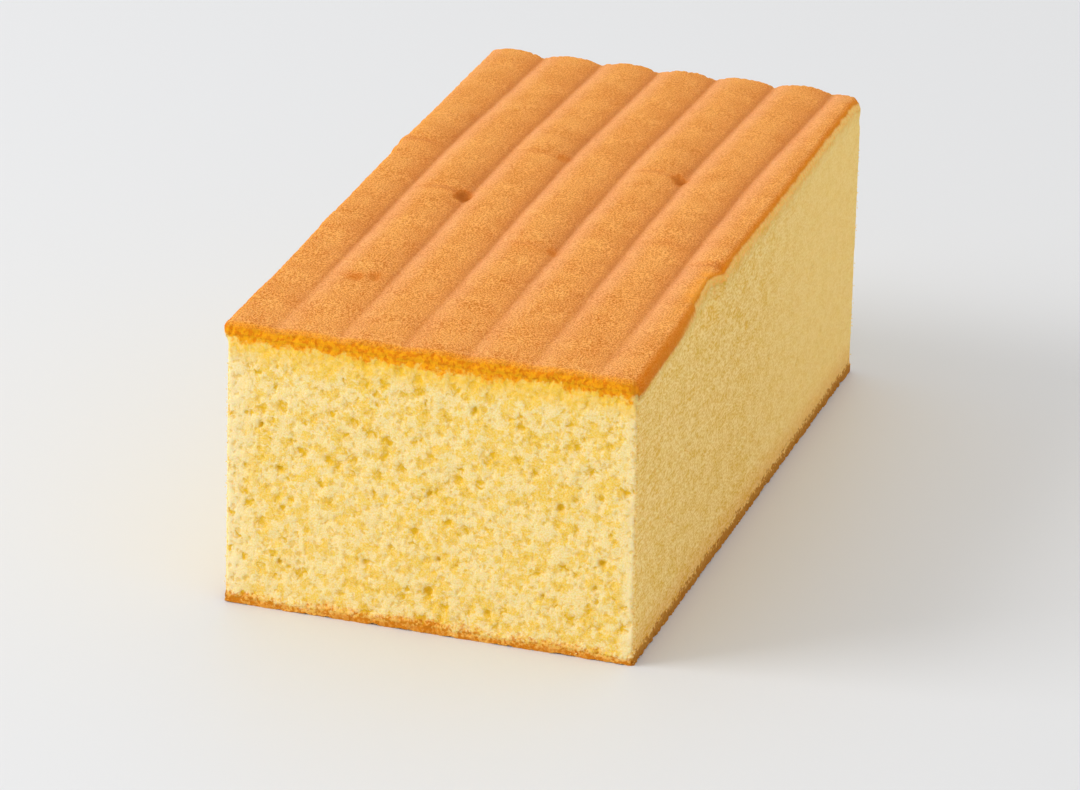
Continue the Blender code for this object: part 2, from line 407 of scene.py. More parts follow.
class Cage:  # keeps, for each point, the way out of the block and the way down from the rim
    def __init__(self, sheet):
        across = gridPlaces(halfWidth, fine["across"])
        along = gridPlaces(halfLength, fine["along"])
        self.shape = bmesh.new()
        self.square = {}  # each point's place on the square outline
        bmesh.ops.create_grid(self.shape, x_segments=len(across) - 1, y_segments=len(along) - 1, size=0.5)
        self.outward = self.shape.verts.layers.float_vector.new("outward")
        self.downFace = self.shape.verts.layers.float.new("downFace")
        self.relief = self.shape.verts.layers.float.new("relief")
        self.torn = self.shape.verts.layers.float.new("torn")
        self.rim = [edge for edge in self.shape.edges if edge.is_boundary]
        for vert in self.shape.verts:
            column = round((vert.co.x + 0.5) * (len(across) - 1))
            row = round((vert.co.y + 0.5) * (len(along) - 1))
            self.square[vert] = (across[column], along[row])
        if sheet:
            self.layTop()
        else:
            inner = [vert for vert in self.shape.verts if not vert.is_boundary]
            bmesh.ops.delete(self.shape, geom=inner, context="VERTS")

    def layTop(self):
        for vert in self.shape.verts:
            x, y = self.square[vert]
            turnedX, turnedY = cornerTurned(x, y, 0.0)
            z = rimHeight(x, y)
            vert.co = (placedAcross(turnedX + lipOut(x, y, 0.0), y, z), turnedY, z)
            vert[self.outward] = outOfTop(x, y)
            vert[self.downFace] = -min(halfWidth - abs(x), halfLength - abs(y))
            vert[self.relief] = 1.0
            vert[self.torn] = tornAt(x, y)

    def rimPoints(self):
        return {vert for edge in self.rim for vert in edge.verts}

    def nextRow(self):  # draws the rim out into new points on the same outline
        before = self.rimPoints()
        made = bmesh.ops.extrude_edge_only(self.shape, edges=self.rim)["geom"]
        self.rim = [item for item in made if isinstance(item, bmesh.types.BMEdge)]
        for vert in self.rimPoints():
            others = [edge.other_vert(vert) for edge in vert.link_edges]
            self.square[vert] = next(self.square[other] for other in others if other in before)

    def layRow(self, depthAt):  # puts the rim this far down the cuts
        for vert in self.rimPoints():
            x, y = self.square[vert]
            depth = depthAt(x, y)
            turnedX, turnedY = cornerTurned(x, y, depth)
            out = outOfCut(x, y, depth)
            z = rimHeight(x, y) - depth
            swell = block["baseSwell"] * (1 - smoothStep(*block["swellTop"], z))
            newX = turnedX + lipOut(x, y, depth) + out.x * swell
            vert.co = (placedAcross(newX, y, z), turnedY + out.y * swell, z)
            vert[self.outward] = out
            vert[self.downFace] = depth
            vert[self.relief] = 1.0
            vert[self.torn] = tornAt(x, y)

    def drawDown(self, rows, depthAt):  # rows of points, by place and by share of the way
        for row in range(1, rows + 1):
            share = row / rows
            self.nextRow()
            self.layRow(lambda x, y: depthAt(x, y, share))

    def close(self, heightAt):  # a flat face inside the block, drawn in from the cuts
        for edge in self.rim:
            edge.smooth = False
        self.nextRow()
        for vert in self.rimPoints():
            x, y = self.square[vert]
            inX = math.copysign(min(abs(x), halfWidth - fine["capInset"]), x)
            inY = math.copysign(min(abs(y), halfLength - fine["capInset"]), y)
            vert.co = (inX, inY, heightAt(inY))
            vert[self.relief] = 0.0
        bmesh.ops.contextual_create(self.shape, geom=self.rim)

    def asObject(self, name):
        doubles = [vert for vert in self.shape.verts if vert[self.relief] == 0.0]
        bmesh.ops.remove_doubles(self.shape, verts=doubles, dist=0.01 * mm)
        bmesh.ops.recalc_face_normals(self.shape, faces=self.shape.faces)
        return added(name, meshFrom(self.shape, name))


def topSeamAt(y):
    onEnd = smoothStep(halfLength - block["seamTurn"], halfLength, abs(y))
    return block["sideSeam"] + (block["topSeam"] - block["sideSeam"]) * onEnd


def seamHeight(y):  # of the flat face between crust and crumb
    return floorHeight(y) - block["rightRound"] - block["topSeam"] - block["seamBelow"]


# The relief, by one rule for every piece, so that no seam shows

relief = {  # depths in millimetres
    "smallDepth": 0.17, "mediumDepth": 0.28, "poreDepth": 0.9,
    "finerOnSides": 0.7,         # the long cuts are smoother
    "skinReach": 0.15,
    "lipReach": -0.2,            # and on the long cuts, where the skin ends sooner behind the tears
    "lessBehind": 1.1, "behindFrom": -60.0, "behindTo": -20.0,
    "skinWaves": ((8.0, 0.2), (0.9, 0.13)),  # size and height
    "cutWaves": ((6.0, 0.5), (1.9, 0.4), (0.8, 0.2)),
    "chips": ((1.4, 0.5, 0.8, 0.5), (0.7, 0.4, 0.7, 0.25)),  # size, noise at their rim and middle, depth
    "cutFrom": (-0.2, 0.5),      # from the skin's end, where the open crumb begins
    "rimReach": 1.5, "footReach": (0.5, 1.8),  # of the chips
    "underReach": 1.8, "underSize": 3.0, "underFrom": (0.42, 0.75), "under": 0.4,  # hollows under the foot
    "poreStirSize": 1.1, "poreStir": 1.6, "poreColourLost": 0.8,
}


def shapeTree(name, wanted):  # a Geometry Nodes tree with named inputs, their wires and their identifiers
    tree = bpy.data.node_groups.new(name, "GeometryNodeTree")
    keys = {}
    for label, kind in wanted.items():
        socket = tree.interface.new_socket(label, in_out="INPUT", socket_type="NodeSocket" + kind)
        keys[label] = socket.identifier
    tree.interface.new_socket("Geometry", in_out="OUTPUT", socket_type="NodeSocketGeometry")
    entry = tree.nodes.new("NodeGroupInput")
    return tree, {label: Wire(entry.outputs[label]) for label in wanted}, keys


def attribute(tree, name, kind="FLOAT"):
    settings = {"data_type": kind}
    return Wire.add(tree, "GeometryNodeInputNamedAttribute", settings, {"Name": name}, "Attribute")


def store(geometry, name, value, kind="FLOAT"):
    values = {"Geometry": geometry, "Name": name, "Value": value}
    return geometry.node("GeometryNodeStoreNamedAttribute", {"data_type": kind, "domain": "POINT"}, values)


def finishTree(tree, geometry, material):
    made = geometry.node("GeometryNodeSetShadeSmooth", {}, {0: geometry})
    made = made.node("GeometryNodeRealizeInstances", {}, {0: made})
    made = made.node("GeometryNodeSetMaterial", {}, {"Geometry": made, "Material": material})
    tree.links.new(made.socket, tree.nodes.new("NodeGroupOutput").inputs[0])


def poreField(place, spots):  # 1 in the middle of the nearest large pore and 0 from its rim on
    settings = {"transform_space": "ORIGINAL"}
    points = spots.node("GeometryNodeObjectInfo", settings, {"Object": spots}, "Geometry")
    nearest = place.node("GeometryNodeSampleNearest", {"domain": "POINT"}, {0: points, 1: place})
    tree = place.tree
    middle = place.node(
        "GeometryNodeSampleIndex", {"data_type": "FLOAT_VECTOR", "domain": "POINT"},
        {"Geometry": points, "Value": Wire.add(tree, "GeometryNodeInputPosition", {}, {}), "Index": nearest},
    )
    radius = place.node(
        "GeometryNodeSampleIndex", {"data_type": "FLOAT", "domain": "POINT"},
        {"Geometry": points, "Value": attribute(tree, "poreRadius"), "Index": nearest},
    )
    stir = place.noise(relief["poreStirSize"] * mm, out="Color") - (0.5, 0.5, 0.5)
    stirred = place + stir * (relief["poreStir"] * mm)
    away = place.node("ShaderNodeVectorMath", {"operation": "DISTANCE"}, {0: stirred, 1: middle}, "Value")
    return (1 - away / radius).most(0.0)


def dentField(x, y):
    total = 0.0
    for acrossAt, alongAt, radius, depth in ridges["dents"]:
        awayX = (x - acrossAt / mm) / (radius / mm)
        awayY = (y - alongAt / mm) / (radius / mm * ridges["dentStretch"])
        near = (1 - (awayX * awayX + awayY * awayY)).most(0.0)
        total = near * near * (depth / mm) + total
    return total


def ridgesAcross(x, y, pitch):  # how many ridges lie to the left, all in millimetres
    bend = y.step(ridges["bendStart"] / mm, ridges["bendEnd"] / mm) * (ridges["bend"] / mm)
    wander = (y * (0.0, 0.05, 0.0)).noise(1.0) * ridges["wander"] - ridges["wander"] / 2
    return (x - ridges["start"] / mm - bend + wander) / pitch


def puffField(across, y):  # stretches where a ridge stands higher, and the steep fronts of these
    number = across.maths("FLOOR", across)
    height, steep = 0.0, 0.0
    for ridge, start, extent, extra in ridges["puffs"]:
        here = (1 - abs(number - ridge).least(1.0)) * (extra / mm)
        front = y.step((start - ridges["puffFront"]) / mm, start / mm)
        height = here * front * (1 - y.step(start / mm, (start + extent) / mm)) + height
        steep = here * front * (1 - front) + steep
    return height, steep


def skinEndAt(place, side, torn):  # how far down the cuts the skin reaches, in millimetres
    uneven = (place.noise(1.6) - 0.5) * 0.9 * (1 - 0.6 * side) + (place.noise(0.7) - 0.5) * 1.3 * side
    behind = place.part("Y").step(relief["behindFrom"], relief["behindTo"])
    lip = relief["lipReach"] - relief["lessBehind"] * behind - torn * 0.4
    return relief["skinReach"] + uneven + side * lip


def waves(place, layers):
    total = 0.0
    for size, height in layers:
        total = (place.noise(size) - 0.5) * height + total
    return total


def chipsAt(place):
    total = 0.0
    for size, low, high, depth in relief["chips"]:
        total = place.noise(size).step(low, high) * depth + total
    return total


def reliefTree():
    tree, given, keys = shapeTree("cakeRelief", {
        "Geometry": "Geometry", "Pores": "Object", "Material": "Material", "Ridge pitch": "Float",
        "Ridge height": "Float", "Ridge share in front": "Float", "Small pits": "Float",
        "Medium pits": "Float", "Large pores": "Float",
    })
    place = Wire.add(tree, "GeometryNodeInputPosition", {}, {})
    outward = attribute(tree, "outward", "FLOAT_VECTOR")
    down = attribute(tree, "downFace") * (1 / mm)
    loose = attribute(tree, "relief")
    inMm = place * (1 / mm)
    x, y, z = (inMm.part(axis) for axis in "XYZ")
    sideness = abs(outward.part("X"))

    # the ridges, and the dents of the skin
    across = ridgesAcross(x, y, given["Ridge pitch"])
    fromGroove = abs(across - across.rounded()) * 2
    crown = 1 - (1 - fromGroove).most(0.0) ** ridges["fullness"]
    inFront = given["Ridge share in front"]
    share = inFront + (1 - inFront) * y.step(-halfLength / mm, 0.0)
    onTop = 1 - down.step(0.0, ridges["fadeDown"] / mm)
    puffed, steep = puffField(across, y)
    varied = ridges["leastRise"] + ridges["moreRise"] * inMm.noise(ridges["unevenSize"])
    rise = given["Ridge height"] * share * varied + puffed
    nudge = inMm.noise(ridges["dentStirSize"], out="Color") - (0.5, 0.5, 0.5)
    nudged = inMm + nudge * ridges["dentStir"]
    dents = dentField(nudged.part("X"), nudged.part("Y"))
    lift = (rise * crown - dents) * onTop

    # the open crumb of the cuts
    stirred = warped(inMm)
    hollow = (smallPits(stirred) * given["Small pits"]).most(mediumPits(stirred) * given["Medium pits"])
    pore = poreField(place, given["Pores"])
    cutOut = (waves(inMm, relief["cutWaves"]) - hollow) * (1 - relief["finerOnSides"] * sideness)
    cutOut = cutOut - pore * given["Large pores"]

    # the skin, how far it reaches over the cuts, and the crumbly edges
    skinOut = waves(inMm, relief["skinWaves"])
    skinEnd = skinEndAt(inMm, sideness, attribute(tree, "torn") * (1 / mm))
    onCut = (down - skinEnd).step(*relief["cutFrom"])
    atRim = (1 - abs(down).step(0.0, relief["rimReach"])) * (1 - sideness)
    atCorner = sideness * abs(outward.part("Y")) * 2
    atFoot = (1 - z.step(*relief["footReach"])) * sideness
    chips = atRim.most(atCorner).most(atFoot) * chipsAt(inMm)
    out = skinOut + onCut * (cutOut - skinOut) - chips

    low = 1 - z.step(0.0, relief["underReach"])
    underneath = low * inMm.noise(relief["underSize"]).step(*relief["underFrom"]) * relief["under"]
    raised = (lift + underneath) * loose * mm
    moved = outward * (out * loose * mm) + raised * (0.0, 0.0, 1.0)
    made = store(given["Geometry"], "restPlace", place, "FLOAT_VECTOR")
    made = store(made, "pore", pore * (1 - relief["poreColourLost"] * sideness))
    made = store(made, "dent", dents)
    # where the puffs step up, for the painted shade there
    made = store(made, "crease", steep * crown * 4)
    made = made.node("GeometryNodeSetPosition", {}, {"Geometry": made, "Offset": moved})
    finishTree(tree, made, given["Material"])
    return tree, keys


def grow(cage, tree, keys, values):  # the cage with its tree's shape, as a plain mesh
    modifier = cage.modifiers.new("shape", "NODES")
    modifier.node_group = tree
    for label, value in values.items():
        modifier[keys[label]] = value
    graph = bpy.context.evaluated_depsgraph_get()
    grown = cage.evaluated_get(graph)
    mesh = bpy.data.meshes.new_from_object(grown, preserve_all_data_layers=True, depsgraph=graph)
    name = cage.name
    bpy.data.objects.remove(cage)
    mesh.name = name
    piece = added(name, mesh)
    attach(piece, "root")
    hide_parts("sponge_cake")
    print(name, len(mesh.polygons), "faces")
    return piece


# Finishes

colours = {  # linear
    "cream": (1.0, 0.81, 0.42, 1.0),
    "yellow": (0.94, 0.61, 0.07, 1.0),
    # painted shade: the deeper, saturated yellow of the pits stands for shade and light bounced inside them
    "hollow": (0.82, 0.49, 0.02, 1.0),
    # painted shade: copies of cream and yellow made warmer and deeper for the shaded right cut
    "shadedCream": (1.0, 0.73, 0.29, 1.0),
    "shadedYellow": (0.80, 0.46, 0.066, 1.0),
    "shadedFar": (1.0, 0.665, 0.20, 1.0),
    "edgeCream": (1.0, 0.86, 0.54, 1.0),
    "amber": (1.0, 0.60, 0.06, 1.0),
    "golden": (0.99, 0.41, 0.008, 1.0),
    "toasted": (0.82, 0.25, 0.004, 1.0),
    "lipOrange": (0.70, 0.175, 0.001, 1.0),
    "lipUnder": (0.64, 0.19, 0.01, 1.0),
    "tornOrange": (0.95, 0.36, 0.028, 1.0),
    "skin": (0.59, 0.165, 0.014, 1.0),
    "skinLight": (1.0, 0.48, 0.13, 1.0),
    # painted sheen of the left ridge flanks; skinShade below is painted shade of the right ones
    "skinSheen": (0.93, 0.43, 0.19, 1.0),
    "skinShade": (0.66, 0.21, 0.045, 1.0),
    # painted shade of the grooves and the puff fronts
    "skinGrooveShade": (0.58, 0.19, 0.05, 1.0),
    "dentBrown": (0.42, 0.115, 0.01, 1.0),
    "baseGold": (0.95, 0.50, 0.10, 1.0),
    "baseSkin": (0.68, 0.24, 0.012, 1.0),
    "baseLow": (0.64, 0.21, 0.008, 1.0),
    "baseDark": (0.39, 0.155, 0.016, 1.0),
}


softness = {  # of baked crumb in light
    "inputs": {
        "Specular IOR Level": 0.1, "Subsurface Weight": 0.35,
        "Subsurface Radius": (1.0, 0.6, 0.25), "Subsurface Scale": 0.7 * mm,
    },
    "roughness": 0.8, "roughnessRange": 0.15, "bumpDistance": 0.3 * mm,
}


def newMaterial(name):
    material = bpy.data.materials.new(name)
    material.use_nodes = True
    shader = material.node_tree.nodes["Principled BSDF"]
    for label, value in softness["inputs"].items():
        shader.inputs[label].default_value = value
    return material, material.node_tree, shader


def surface(tree):  # what the shape left on the surface, in millimetres
    def read(name, out):
        return Wire.add(tree, "ShaderNodeAttribute", {"attribute_name": name}, {}, out)

    place = read("restPlace", "Vector") * (1 / mm)
    side = abs(read("outward", "Vector").part("X"))
    drawn = place * (1.0, crumb["drawn"], 1.0)
    grain = place.noise(crumb["grainSize"], rough=crumb["grainRough"])
    patch = place.noise(crumb["patchSize"], detail=3.0, rough=0.55)
    return {
        "place": place,
        "down": read("downFace", "Fac") * (1 / mm),
        "side": side,
        "pore": read("pore", "Fac"),
        "dent": read("dent", "Fac"),
        "crease": read("crease", "Fac"),
        "torn": read("torn", "Fac") * (1 / mm),
        "grain": grain + side * (drawn.noise(crumb["grainSize"]) - grain),
        "patch": patch + side * (drawn.noise(crumb["patchSize"], detail=3.0, rough=0.55) - patch),
    }


crumbTones = {  # sizes in millimetres
    "smallPits": 0.55, "pitsOnSides": 0.15,
    "grainFrom": (0.42, 0.58), "patchFrom": (0.46, 0.59),
    "far": (-15.0, 60.0), "shadeBehind": 0.35, "grainLostFar": 0.4, "palerFar": 0.45,
    "leftCut": (20.0, -20.0),    # across, where the crumb turns from the shaded cut's painted-shade palette to the lit one's
    "leftEdge": (5.0, -5.0),     # and where the paler edges turn wider
    "paleEdgeReach": (0.4, 3.6), "paleEdgePatches": (0.4, 0.6), "paleEdge": 0.85,
    "poreRim": 0.6,
}


def crumbColour(seen):
    place, side, tones = seen["place"], seen["side"], crumbTones
    x = place.part("X")
    stirred = warped(place)
    small = smallPits(stirred).step(0.0, 0.9)
    medium = mediumPits(stirred).step(0.0, 0.9)
    onSides = 1 - (1 - tones["pitsOnSides"]) * side
    seen["hollow"] = (small * tones["smallPits"]).most(medium) * onSides
    grain = seen["grain"].step(*tones["grainFrom"])
    patch = seen["patch"].step(*tones["patchFrom"])
    far = place.part("Y").step(*tones["far"])  # the long cuts are paler there, the back cut takes some of the painted-shade palette
    endWall = (grain * 0.45 + patch * 0.55).blend(colours["cream"], colours["yellow"])
    # painted shade: the back cut, which lies in shade, turns partly to the shaded cut's warmer palette
    endWall = (far * tones["shadeBehind"]).blend(endWall, colours["shadedCream"])
    coarse = (grain * 0.7 + patch * 0.3) * (1 - tones["grainLostFar"] * far)
    # the long cuts in the painted-shade palette, paler towards the back, turned to the lit palette on the
    # left cut
    longWall = coarse.blend(colours["shadedCream"], colours["shadedYellow"])
    longWall = (far * tones["palerFar"]).blend(longWall, colours["shadedFar"])
    litWall = (grain * 0.65 + patch * 0.35).blend(colours["cream"], colours["yellow"])
    longWall = x.step(*tones["leftCut"]).blend(longWall, litWall)
    wall = side.blend(endWall, longWall)
    toEdge = (halfWidth / mm - abs(x)) * (1 - 0.5 * x.step(*tones["leftEdge"]))
    # paler cream near the upright edges of the end cuts, wider at the left one
    paleEdge = (1 - side) * (1 - toEdge.step(*tones["paleEdgeReach"]))
    paleEdge = paleEdge * (0.3 + 0.7 * seen["patch"].step(*tones["paleEdgePatches"]))
    wall = (paleEdge * tones["paleEdge"]).blend(wall, colours["edgeCream"])
    # the pits and large pores take the hollow colour: painted shade and bounce light
    return (seen["hollow"] + seen["pore"].step(0.0, tones["poreRim"])).blend(wall, colours["hollow"])


browning = {  # under the skin, sizes in millimetres
    "lobeSize": 3.6, "lobes": 5.0, "lobesLost": 0.85, "lobesUp": 0.5,  # lost on the long cuts
    "raggedSize": 0.7, "ragged": 2.6, "raggedLost": 0.5,
    "edgeSize": 1.3, "edge": 3.0, "depth": (1.8, 2.9),
    "spotSize": 0.9, "spotsFrom": (0.46, 0.58), "spots": 0.9, "hollows": 0.3,
    "tintDepth": (2.8, 6.8), "tint": 0.6, "tintSpots": 0.35,
    "thinner": 2.3, "thinnerAtTears": 0.3, "thinnerBehind": 1.8,  # on the long cuts
    "fringeDepth": (-1.0, 2.0), "fringeRagged": 5.0, "fringe": 0.25, "fringeGrain": 0.5,
}

toasting = {  # above the base, sizes in millimetres
    "footSize": 2.0, "foot": 2.4, "patchSize": 6.0, "patches": 3.6,
    "crumblySize": 0.5, "crumbly": 3.4, "crumblyStretch": 0.6, "onSides": 0.7,
    "spotSize": 0.7, "cloudSize": 5.0, "clouds": 0.4, "spotsFrom": (0.44, 0.56),
    "low": (1.2, 0.0), "lowShare": 0.65, "darkOnSides": 0.85,
    # the first two: painted shade near the base on the long cuts, the heights over which it fades and its
    # share
    "nearBaseShade": (1.5, 8.0), "nearBaseShadeShare": 0.35, "height": (1.1, 2.8),
}


def brownedBelowSkin(seen, colour):
    place, down, side, look = seen["place"], seen["down"], seen["side"], browning
    lobes = (place.noise(look["lobeSize"]) - 0.5) * look["lobes"] * (1 - look["lobesLost"] * side)
    ragged = (place.noise(look["raggedSize"], detail=3.0) - 0.5) * look["ragged"]
    depth = down + (lobes - look["lobesUp"]) + ragged * (1 - look["raggedLost"] * side)
    spotted = place.noise(look["spotSize"], detail=3.0)
    spots = spotted.step(*look["spotsFrom"])
    # the band also turns more toasted in the pits: painted shade
    band = spots * look["spots"] + seen["hollow"] * look["hollows"]
    band = band.blend(colours["golden"], colours["toasted"])
    band = side.blend(band, colours["lipUnder"])
    tint = (1 - side) * (1 - depth.step(*look["tintDepth"])) * (look["tint"] + look["tintSpots"] * spots)
    colour = tint.blend(colour, colours["amber"])
    fringe = side * (1 - (down + (spotted - 0.5) * look["fringeRagged"]).step(*look["fringeDepth"]))
    fringe = fringe * (look["fringe"] + look["fringeGrain"] * seen["grain"].step(0.56, 0.44))
    colour = fringe.blend(colour, colours["tornOrange"])
    behind = place.part("Y").step(relief["behindFrom"], relief["behindTo"])
    thinner = look["thinner"] + seen["torn"] * look["thinnerAtTears"] + look["thinnerBehind"] * behind
    uneven = (place.noise(look["edgeSize"]) - 0.5) * look["edge"] * (1 - side)
    low, high = look["depth"]
    return (depth + side * thinner + uneven).step(low - 0.3 * side, high).blend(band, colour)


def brownedAboveBase(seen, colour):
    place, side, look = seen["place"], seen["side"], toasting
    crumbly = (place * (1.0, look["crumblyStretch"], 1.0)).noise(look["crumblySize"]) - 0.5
    foot = (place.noise(look["footSize"]) - 0.5) * (look["foot"] - side)
    foot = foot + (place.noise(look["patchSize"]) - 0.5) * look["patches"] * (1 - side)
    height = place.part("Z") + foot + crumbly * (look["crumbly"] + side) - side * look["onSides"]
    clouds = (place.noise(look["cloudSize"]) - 0.5) * look["clouds"]
    spots = (place.noise(look["spotSize"], detail=3.0) + clouds).step(*look["spotsFrom"])
    band = spots.blend(colours["baseGold"], colours["baseSkin"])
    band = (height.step(*look["low"]) * look["lowShare"]).blend(band, colours["baseLow"])
    band = (side * look["darkOnSides"]).blend(band, colours["baseDark"])
    # painted shade: the long cuts darken towards the base piece
    nearBaseShade = side * look["nearBaseShadeShare"] * (1 - height.step(*look["nearBaseShade"]))
    colour = nearBaseShade.blend(colour, colours["baseSkin"])
    low, high = look["height"]
    return (height + 0.35 * side).step(low + 0.4 * side, high - 0.3 * side).blend(band, colour)


def cutColour(seen):  # the crumb, browned below the skin and above the base
    return brownedAboveBase(seen, brownedBelowSkin(seen, crumbColour(seen)))


def finishSurface(tree, shader, colour, grain, height, strength):
    roughness = softness["roughness"] + softness["roughnessRange"] * grain
    values = {"Strength": strength, "Distance": softness["bumpDistance"], "Height": height}
    bump = height.node("ShaderNodeBump", {}, values, "Normal")
    tree.links.new(colour.socket, shader.inputs["Base Color"])
    tree.links.new(roughness.socket, shader.inputs["Roughness"])
    tree.links.new(bump.socket, shader.inputs["Normal"])


def crumbMaterial():
    material, tree, shader = newMaterial("openYellowCrumb")
    seen = surface(tree)
    colour = cutColour(seen)
    height = seen["grain"] * 0.8 - seen["hollow"] * 0.6
    finishSurface(tree, shader, colour, seen["grain"], height, 0.65)
    return material


skinLook = {  # sizes in millimetres, places across as shares of a ridge
    "speckleSize": 0.3, "speckleRough": 0.65, "grainFrom": (0.42, 0.58),
    "patchSize": 6.0, "patchFrom": (0.35, 0.65), "patches": 0.15,
    "grainFades": (-40.0, 60.0), "grainLost": 0.3,  # towards the back
    "ridgesFrom": (-75.0, -30.0), "ridgesInFront": 0.4,
    "groove": 0.13, "litFlank": (0.42, 0.08), "shadedFlank": (-0.42, -0.08),
    "leftCrease": (-0.03, 0.05), "rightCrease": (0.02, -0.02),
    "dentHalo": (0.0, 0.3), "dentMiddle": (0.1, 0.7),
    "lip": (0.12, 0.7),          # how steep the skin is there
    "bareFrom": (0.3, 1.7), "bareReach": (-4.5, -1.0), "rim": (-1.6, 0.2),
}


def skinColour(seen, speckle):  # sandy grain, painted sheen on the left flanks, painted shade on the right flanks, in the grooves and at the puff fronts, darker dents and rims
    place, down, side, look = seen["place"], seen["down"], seen["side"], skinLook
    y = place.part("Y")
    across = ridgesAcross(place.part("X"), y, ridges["pitch"] / mm)
    across = across - across.rounded()
    faint = look["ridgesInFront"]
    behind = faint + (1 - faint) * y.step(*look["ridgesFrom"])
    groove = (1 - abs(across).step(0.0, look["groove"])) * behind
    litFlank = across.step(*look["litFlank"]) * across.step(*look["leftCrease"]) * behind
    shadedFlank = across.step(*look["shadedFlank"]) * across.step(*look["rightCrease"]) * behind
    grain = speckle.step(*look["grainFrom"])
    patch = place.noise(look["patchSize"], detail=3.0).step(*look["patchFrom"])
    tone = grain * (1 - look["patches"]) + patch * look["patches"]
    tone = tone + look["grainLost"] * y.step(*look["grainFades"]) * (0.5 - grain)
    mottle, streaks = place.noise(5.0), place.noise(3.0)
    skin = tone.blend(colours["skin"], colours["skinLight"])
    # painted sheen on the left flanks, which face the light
    skin = (litFlank * (0.1 + 0.4 * mottle + 0.4 * grain)).blend(skin, colours["skinSheen"])
    # painted shade on the right flanks, which face away from it
    skin = (shadedFlank * (0.3 + 0.4 * mottle - 0.3 * grain)).blend(skin, colours["skinShade"])
    # painted shade in the grooves
    skin = (groove * (0.2 + 0.7 * streaks)).blend(skin, colours["skinGrooveShade"])
    # painted shade along the steep fronts of the puffs, together with the darker, thicker crust there
    skin = (seen["crease"] * (0.4 + 1.2 * place.noise(3.5))).blend(skin, colours["skinGrooveShade"])
    skin = (seen["dent"].step(*look["dentHalo"]) * 0.45).blend(skin, colours["lipOrange"])
    skin = (seen["dent"].step(*look["dentMiddle"]) * 0.85).blend(skin, colours["dentBrown"])
    skin = (side.step(*look["lip"]) * (1 - 0.3 * grain)).blend(skin, colours["lipOrange"])
    bare = seen["torn"].step(*look["bareFrom"]) * down.step(*look["bareReach"])
    skin = (bare * (place.noise(1.6) * 1.6 - 0.2 * grain)).blend(skin, colours["tornOrange"])
    rim = (1 - side) * down.step(*look["rim"])
    return (rim * (0.3 + 0.5 * grain)).blend(skin, colours["golden"])


def crustMaterial():
    material, tree, shader = newMaterial("brownedTop")
    seen = surface(tree)
    side = seen["side"]
    cut = cutColour(seen)
    speckle = seen["place"].noise(skinLook["speckleSize"], rough=skinLook["speckleRough"])
    skin = skinColour(seen, speckle)
    skinEnd = skinEndAt(seen["place"], side, seen["torn"]) + (seen["grain"] - 0.5) * 1.6
    onCut = (seen["down"] - skinEnd).step(-0.35 - 0.2 * side, 0.35 + 0.35 * side)
    height = speckle + onCut * (seen["grain"] - seen["hollow"] * 0.6 - speckle)
    finishSurface(tree, shader, onCut.blend(skin, cut), speckle, height, 0.9)
    return material


def baseMaterial():
    material, tree, shader = newMaterial("brownedBase")
    seen = surface(tree)
    grain = seen["grain"]
    finishSurface(tree, shader, cutColour(seen), grain, grain - seen["hollow"] * 0.6, 0.6)
    return material


def looseMaterial():
    material, tree, shader = newMaterial("looseCrumb")
    seen = surface(tree)
    height = seen["place"].part("Z")
    tone = seen["grain"].step(0.35, 0.65)
    pale = tone.blend(colours["cream"], colours["yellow"])
    brown = tone.blend(colours["baseGold"], colours["baseSkin"])
    browned = (1 - height.step(1.0, 2.2)) * seen["place"].noise(1.5).step(0.38, 0.5)
    finishSurface(tree, shader, browned.blend(pale, brown), seen["grain"], seen["grain"], 0.5)
    return material


# The pieces

def crustCage():
    cage = Cage(sheet=True)
    rows = round(block["topSeam"] / fine["crustRow"])
    cage.drawDown(rows, lambda x, y, share: topSeamAt(y) * share)
    cage.close(seamHeight)
    return cage.asObject("topCrust")


def crumbCage():
    cage = Cage(sheet=False)
    rows = round((backHeight - block["topSeam"] - block["baseSeam"]) / fine["crumbRow"])

    def depthAt(x, y, share):
        top = topSeamAt(y)
        return top + (rimHeight(x, y) - block["baseSeam"] - top) * share

    cage.layRow(lambda x, y: topSeamAt(y))
    upper = list(cage.rim)
    cage.drawDown(rows, depthAt)
    cage.close(lambda y: block["baseSeam"])
    cage.rim = upper
    cage.close(seamHeight)
    return cage.asObject("openCrumb")


def baseCage():
    cage = Cage(sheet=False)
    rows = round(block["baseSeam"] / fine["baseRow"])

    def depthAt(x, y, share):
        return rimHeight(x, y) - block["baseSeam"] * (1 - share)

    cage.layRow(lambda x, y: depthAt(x, y, 0.0))
    upper = list(cage.rim)
    cage.drawDown(rows, depthAt)
    cage.close(lambda y: 0.0)
    cage.rim = upper
    cage.close(lambda y: block["baseSeam"])
    return cage.asObject("baseSkin")


looseCrumbs = {
    "gap": 0.8 * mm,             # along the edges of the cuts
    "spread": 0.35 * mm, "smallest": 0.1 * mm, "largest": 0.55 * mm,
    "inset": 0.22 * mm,          # of their middles from the edge
    "lowest": 0.6 * mm, "belowTop": 7.0 * mm,
    "roughSize": 0.25 * mm, "rough": 0.3 * mm,
    "seed": 11,
}


def edgeLines():  # the upright edges and the foot of every cut
    x = halfWidth - looseCrumbs["inset"]
    y = halfLength - looseCrumbs["inset"]
    low, high = looseCrumbs["lowest"], frontHeight - looseCrumbs["belowTop"]
    corners = ((-x, -y), (x, -y), (x, y), (-x, y))
    lines = [((a, b, low), (placedAcross(a, b, high), b, high)) for a, b in corners]
    lines += [((*corners[n], low), (*corners[(n + 1) % 4], low)) for n in range(4)]
    shape = bmesh.new()
    for start, end in lines:
        shape.edges.new((shape.verts.new(start), shape.verts.new(end)))
    return added("looseCrumbs", meshFrom(shape, "looseCrumbs"))


